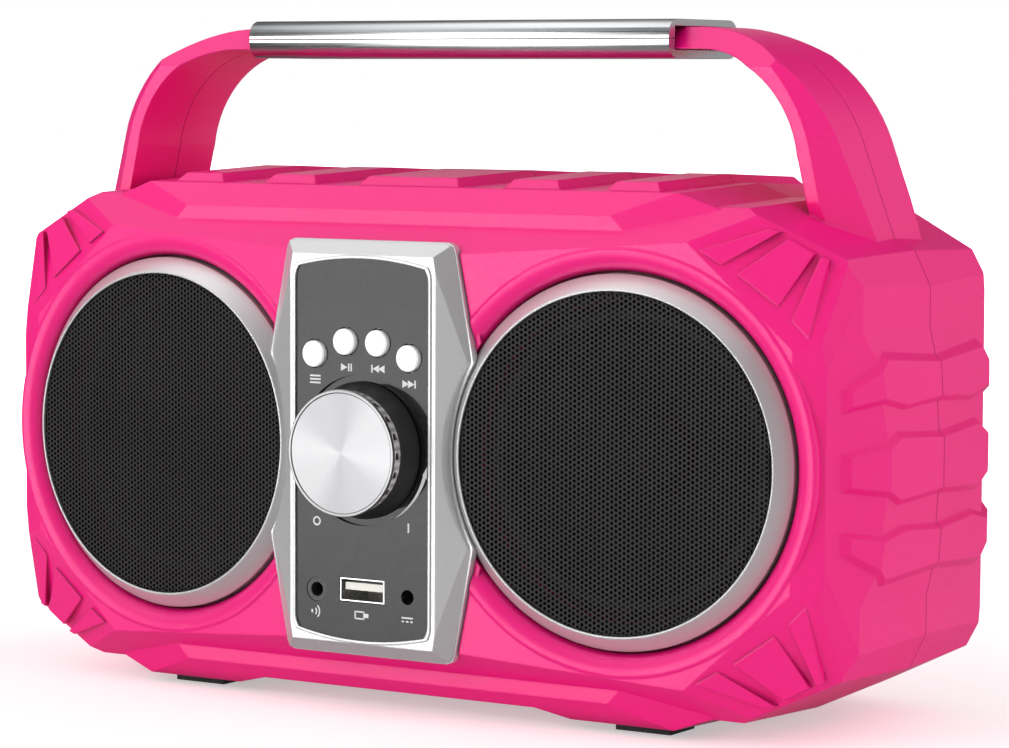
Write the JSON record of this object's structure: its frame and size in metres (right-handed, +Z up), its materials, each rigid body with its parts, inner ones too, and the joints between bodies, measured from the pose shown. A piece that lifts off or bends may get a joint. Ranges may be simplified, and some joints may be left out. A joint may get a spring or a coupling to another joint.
{
  "type": "portable boombox speaker",
  "caption": "Portable stereo speaker with a faceted shell, fixed carry handle, toed-out round speakers, a volume knob, push buttons and front audio, power and data sockets.",
  "frame": {"origin": "on the ground at the middle of the four rubber feet, in the plane of the seam between the front and rear shells", "axes": "+X to the right seen from the front, -Y out of the front, +Z up"},
  "size_m": [0.2592, 0.1134, 0.172],
  "materials": {
    "pink_shell": "satin, very fine texture",
    "dark_steel": "zinc plated",
    "satin_metal": "satin",
    "pad_rubber": "matte",
    "silver_plastic": "silver lacquer",
    "black_mesh": "satin black",
    "foam": "soft foam",
    "basket_steel": "dark coat",
    "ferrite": "sintered",
    "surround_rubber": "matte",
    "spider_cloth": "woven",
    "cone_plastic": "pressed",
    "copper": "wound wire",
    "black_gloss": "high gloss",
    "board_green": "lacquered",
    "button_silver": "silver lacquer",
    "black_plastic": "moulded",
    "bright_steel": "plated",
    "clear_plastic": "clear, faceted",
    "spun_aluminium": "spun",
    "white_plastic": "moulded",
    "cell_wrap": "shrink wrap",
    "lead_red": "insulated wire"
  },
  "bodies": {
    "cabinet": {"front_shell": "pink_shell", "rear_shell": "pink_shell", "shell_screws": "dark_steel", "grip_upper": "satin_metal", "grip_lower": "satin_metal", "grip_screws": "dark_steel", "foot_pads": "pad_rubber", "trim_ring_left": "silver_plastic", "trim_ring_right": "silver_plastic", "grille_left": "black_mesh", "grille_right": "black_mesh", "gasket_left": "foam", "gasket_right": "foam", "basket_left": "basket_steel", "basket_right": "basket_steel", "magnet_left": "ferrite", "magnet_right": "ferrite", "surround_left": "surround_rubber", "surround_right": "surround_rubber", "spider_left": "spider_cloth", "spider_right": "spider_cloth", "driver_screws": "dark_steel", "bezel": "silver_plastic", "faceplate": "black_gloss", "bezel_screws": "dark_steel", "main_board": "board_green", "board_screws": "dark_steel", "display_module": "black_gloss", "tact_switches": "black_plastic", "volume_pot": "bright_steel", "pot_nut": "bright_steel", "aux_jack": "black_plastic", "usb_shell": "bright_steel", "usb_tongue": "white_plastic", "dc_jack": "black_plastic", "dc_pin": "bright_steel", "amplifier_chip": "black_plastic", "battery_pack": "cell_wrap", "battery_bracket": "black_plastic", "bracket_screws": "dark_steel", "speaker_lead_left": "lead_red", "speaker_lead_right": "lead_red", "battery_lead": "lead_red"},
    "volume_knob": {"pot_shaft": "bright_steel", "knob_skirt": "black_plastic", "knob_band": "clear_plastic", "knob_cap": "spun_aluminium"},
    "mode_key": {"mode_button": "button_silver"},
    "play_key": {"play_button": "button_silver"},
    "previous_key": {"previous_button": "button_silver"},
    "next_key": {"next_button": "button_silver"},
    "cone_left": {"cone_left": "cone_plastic", "dust_cap_left": "cone_plastic", "voice_coil_left": "copper"},
    "cone_right": {"cone_right": "cone_plastic", "dust_cap_right": "cone_plastic", "voice_coil_right": "copper"}
  },
  "joints": [
    {"name": "volume_turn", "type": "hinge", "parent": "cabinet", "child": "volume_knob", "pos_m": [0, -0.06, 0.0665], "axis": [0, 1, 0], "range_deg": [0, 300]},
    {"name": "mode_press", "type": "slide", "parent": "cabinet", "child": "mode_key", "axis": [0, 1, 0], "range_m": [0, 0.0006]},
    {"name": "play_press", "type": "slide", "parent": "cabinet", "child": "play_key", "axis": [0, 1, 0], "range_m": [0, 0.0006]},
    {"name": "previous_press", "type": "slide", "parent": "cabinet", "child": "previous_key", "axis": [0, 1, 0], "range_m": [0, 0.0006]},
    {"name": "next_press", "type": "slide", "parent": "cabinet", "child": "next_key", "axis": [0, 1, 0], "range_m": [0, 0.0006]},
    {"name": "cone_left_stroke", "type": "slide", "parent": "cabinet", "child": "cone_left", "axis": [-0.0889, -0.996, 0], "range_m": [-0.0015, 0.0015]},
    {"name": "cone_right_stroke", "type": "slide", "parent": "cabinet", "child": "cone_right", "axis": [0.0889, -0.996, 0], "range_m": [-0.0015, 0.0015]}
  ]
}
